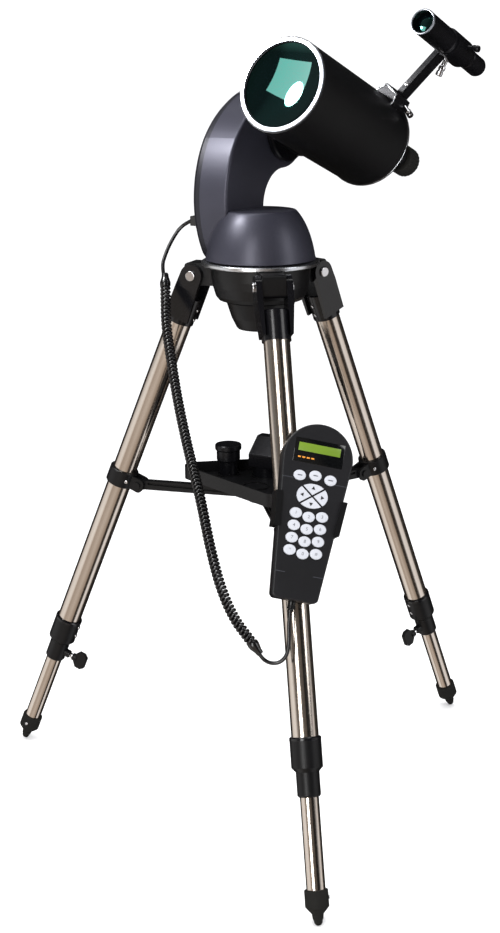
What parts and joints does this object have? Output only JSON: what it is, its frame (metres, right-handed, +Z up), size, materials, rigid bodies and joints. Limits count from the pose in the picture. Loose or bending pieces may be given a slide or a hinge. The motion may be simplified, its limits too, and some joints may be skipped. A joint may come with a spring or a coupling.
{
  "type": "telescope on a tripod",
  "caption": "Small catadioptric telescope on a one-arm computer-driven mount, with a folding steel tripod, hand controller and accessory tray.",
  "frame": {"origin": "on the floor, under the middle of the outline without its cord", "axes": "+Z up, -Y towards the leg that carries the hand controller, +X to the right"},
  "size_m": [0.6468, 0.5638, 0.9977],
  "materials": {
    "casting_black": "gloss",
    "leg_steel": "polished",
    "boot_rubber": "matt",
    "knob_black": "satin",
    "bolt_chrome": "polished",
    "plate_silver": "satin",
    "mount_paint": "satin metallic",
    "tray_black": "satin",
    "eyepiece_black": "satin black",
    "tube_black": "satin",
    "anodised_black": "anodised",
    "ring_silver": "satin",
    "lens_glass": "coated",
    "mirror_silver": "polished",
    "controller_grey": "fine texture",
    "display_dark": "gloss",
    "key_white": "satin",
    "cord_black": "satin"
  },
  "bodies": {
    "tripod_head": {"hub_casting": "casting_black", "pivot_bolts": "bolt_chrome", "base_plate": "plate_silver", "cord_curl": "cord_black"},
    "fixing_knob": {"fixing_knob": "knob_black"},
    "mount": {"azimuth_housing": "mount_paint", "arm_shell": "mount_paint", "arm_cover": "mount_paint", "cord_plug": "cord_black", "cord_lead_top": "cord_black"},
    "telescope": {"altitude_saddle": "anodised_black", "dovetail_bar": "anodised_black", "optical_tube": "tube_black", "front_ring": "ring_silver", "corrector_lens": "lens_glass", "rear_cell": "tube_black", "primary_mirror": "mirror_silver", "visual_back": "eyepiece_black", "finder_bracket": "anodised_black", "finder_scope": "eyepiece_black"},
    "focuser": {"focus_knob": "knob_black"},
    "tray": {"accessory_tray": "tray_black", "brace_hub": "tray_black"},
    "eyepiece": {"eyepiece": "eyepiece_black"},
    "diagonal": {"star_diagonal": "eyepiece_black"},
    "controller": {"controller_front": "controller_grey", "controller_back": "controller_grey", "display": "display_dark", "cord_lead_low": "cord_black"},
    "front_leg": {"front_leg_cap": "casting_black", "front_leg_tube": "leg_steel", "front_lock_collar": "casting_black", "front_brace_clamp": "casting_black", "controller_holder": "casting_black"},
    "front_lower_leg": {"front_inner_tube": "leg_steel", "front_foot_boot": "boot_rubber"},
    "front_lock": {"front_lock_knob": "knob_black"},
    "front_brace": {"front_brace_arm": "casting_black"},
    "right_leg": {"right_leg_cap": "casting_black", "right_leg_tube": "leg_steel", "right_lock_collar": "casting_black", "right_brace_clamp": "casting_black"},
    "right_lower_leg": {"right_inner_tube": "leg_steel", "right_foot_boot": "boot_rubber"},
    "right_lock": {"right_lock_knob": "knob_black"},
    "right_brace": {"right_brace_arm": "casting_black"},
    "left_leg": {"left_leg_cap": "casting_black", "left_leg_tube": "leg_steel", "left_lock_collar": "casting_black", "left_brace_clamp": "casting_black"},
    "left_lower_leg": {"left_inner_tube": "leg_steel", "left_foot_boot": "boot_rubber"},
    "left_lock": {"left_lock_knob": "knob_black"},
    "left_brace": {"left_brace_arm": "casting_black"},
    "key_up": {"key_up": "key_white"},
    "key_right": {"key_right": "key_white"},
    "key_down": {"key_down": "key_white"},
    "key_left": {"key_left": "key_white"},
    "menu_keys": {"menu_keys": "key_white"},
    "number_keys": {"number_keys": "key_white"}
  },
  "joints": [
    {"name": "azimuth_turn", "type": "hinge", "parent": "tripod_head", "child": "mount", "pos_m": [0, 0.08922, 0.71], "axis": [0, 0, 1], "range_deg": [-180, 180]},
    {"name": "altitude_tilt", "type": "hinge", "parent": "mount", "child": "telescope", "pos_m": [0.0439, 0.16358, 0.858], "axis": [-0.7199, 0.694, 0], "range_deg": [-35, 69]},
    {"name": "focus_turn", "type": "hinge", "parent": "telescope", "child": "focuser", "pos_m": [0.18462, 0.12656, 0.81962], "axis": [0.6492, 0.6735, -0.3535], "range_deg": [-1800, 1800]},
    {"name": "fixing_knob_turn", "type": "hinge", "parent": "tripod_head", "child": "fixing_knob", "pos_m": [0, 0.08922, 0.636], "axis": [0, 0, 1], "range_deg": [0, 360]},
    {"name": "front_leg_fold", "type": "hinge", "parent": "tripod_head", "child": "front_leg", "pos_m": [0, 0.00422, 0.68213], "axis": [1, 0, 0], "range_deg": [0, 6]},
    {"name": "front_leg_extend", "type": "slide", "parent": "front_leg", "child": "front_lower_leg", "axis": [0, -0.3817, -0.9243], "range_m": [-0.1, 0.22]},
    {"name": "front_lock_turn", "type": "hinge", "parent": "front_leg", "child": "front_lock", "pos_m": [0, -0.18945, 0.13459], "axis": [0, -0.9243, 0.3817], "range_deg": [0, 360]},
    {"name": "front_brace_swing", "type": "hinge", "parent": "front_leg", "child": "front_brace", "pos_m": [0, -0.08381, 0.39823], "axis": [1, 0, 0], "range_deg": [0, 30.14]},
    {"name": "right_leg_fold", "type": "hinge", "parent": "tripod_head", "child": "right_leg", "pos_m": [0.07361, 0.13172, 0.68213], "axis": [-0.5, 0.866, 0], "range_deg": [0, 6.02]},
    {"name": "right_leg_extend", "type": "slide", "parent": "right_leg", "child": "right_lower_leg", "axis": [0.3306, 0.1909, -0.9243], "range_m": [-0.1, 0.22]},
    {"name": "right_lock_turn", "type": "hinge", "parent": "right_leg", "child": "right_lock", "pos_m": [0.24133, 0.22855, 0.13459], "axis": [0.8004, 0.4621, 0.3817], "range_deg": [0, 360]},
    {"name": "right_brace_swing", "type": "hinge", "parent": "right_leg", "child": "right_brace", "pos_m": [0.14985, 0.17574, 0.39823], "axis": [-0.5, 0.866, 0], "range_deg": [0, 30.14]},
    {"name": "left_leg_fold", "type": "hinge", "parent": "tripod_head", "child": "left_leg", "pos_m": [-0.07361, 0.13172, 0.68213], "axis": [-0.5, -0.866, 0], "range_deg": [0, 6.02]},
    {"name": "left_leg_extend", "type": "slide", "parent": "left_leg", "child": "left_lower_leg", "axis": [-0.3306, 0.1909, -0.9243], "range_m": [-0.1, 0.22]},
    {"name": "left_lock_turn", "type": "hinge", "parent": "left_leg", "child": "left_lock", "pos_m": [-0.24133, 0.22855, 0.13459], "axis": [-0.8004, 0.4621, 0.3817], "range_deg": [0, 360]},
    {"name": "left_brace_swing", "type": "hinge", "parent": "left_leg", "child": "left_brace", "pos_m": [-0.14985, 0.17574, 0.39823], "axis": [-0.5, -0.866, 0], "range_deg": [0, 30.14]},
    {"name": "tray_rise", "type": "slide", "parent": "tripod_head", "child": "tray", "axis": [0, 0, 1], "range_m": [0, 0.07804]},
    {"name": "eyepiece_lift", "type": "slide", "parent": "tray", "child": "eyepiece", "axis": [0, 0, 1], "range_m": [0, 0.06]},
    {"name": "diagonal_lift", "type": "slide", "parent": "tray", "child": "diagonal", "axis": [0, 0, 1], "range_m": [0, 0.06]},
    {"name": "controller_lift", "type": "slide", "parent": "front_leg", "child": "controller", "axis": [0.2385, 0.3707, 0.8976], "range_m": [0, 0.09]},
    {"name": "key_up_press", "type": "slide", "parent": "controller", "child": "key_up", "axis": [0, 0.9243, -0.3817], "range_m": [0, 0.0008], "stiffness_N_per_m": 800, "springref_m": -0.0005},
    {"name": "key_right_press", "type": "slide", "parent": "controller", "child": "key_right", "axis": [0, 0.9243, -0.3817], "range_m": [0, 0.0008], "stiffness_N_per_m": 800, "springref_m": -0.0005},
    {"name": "key_down_press", "type": "slide", "parent": "controller", "child": "key_down", "axis": [0, 0.9243, -0.3817], "range_m": [0, 0.0008], "stiffness_N_per_m": 800, "springref_m": -0.0005},
    {"name": "key_left_press", "type": "slide", "parent": "controller", "child": "key_left", "axis": [0, 0.9243, -0.3817], "range_m": [0, 0.0008], "stiffness_N_per_m": 800, "springref_m": -0.0005},
    {"name": "menu_keys_press", "type": "slide", "parent": "controller", "child": "menu_keys", "axis": [0, 0.9243, -0.3817], "range_m": [0, 0.0008], "stiffness_N_per_m": 800, "springref_m": -0.0005},
    {"name": "number_keys_press", "type": "slide", "parent": "controller", "child": "number_keys", "axis": [0, 0.9243, -0.3817], "range_m": [0, 0.0008], "stiffness_N_per_m": 800, "springref_m": -0.0005}
  ],
  "couplings": [
    {"joint": "front_brace_swing", "follows": "front_leg_fold", "ratio": 5.0058},
    {"joint": "right_leg_fold", "follows": "front_leg_fold", "ratio": 1},
    {"joint": "right_brace_swing", "follows": "front_leg_fold", "ratio": 5.0058},
    {"joint": "left_leg_fold", "follows": "front_leg_fold", "ratio": 1},
    {"joint": "left_brace_swing", "follows": "front_leg_fold", "ratio": 5.0058},
    {"joint": "tray_rise", "follows": "front_leg_fold", "m_per_rad": 0.74045}
  ]
}
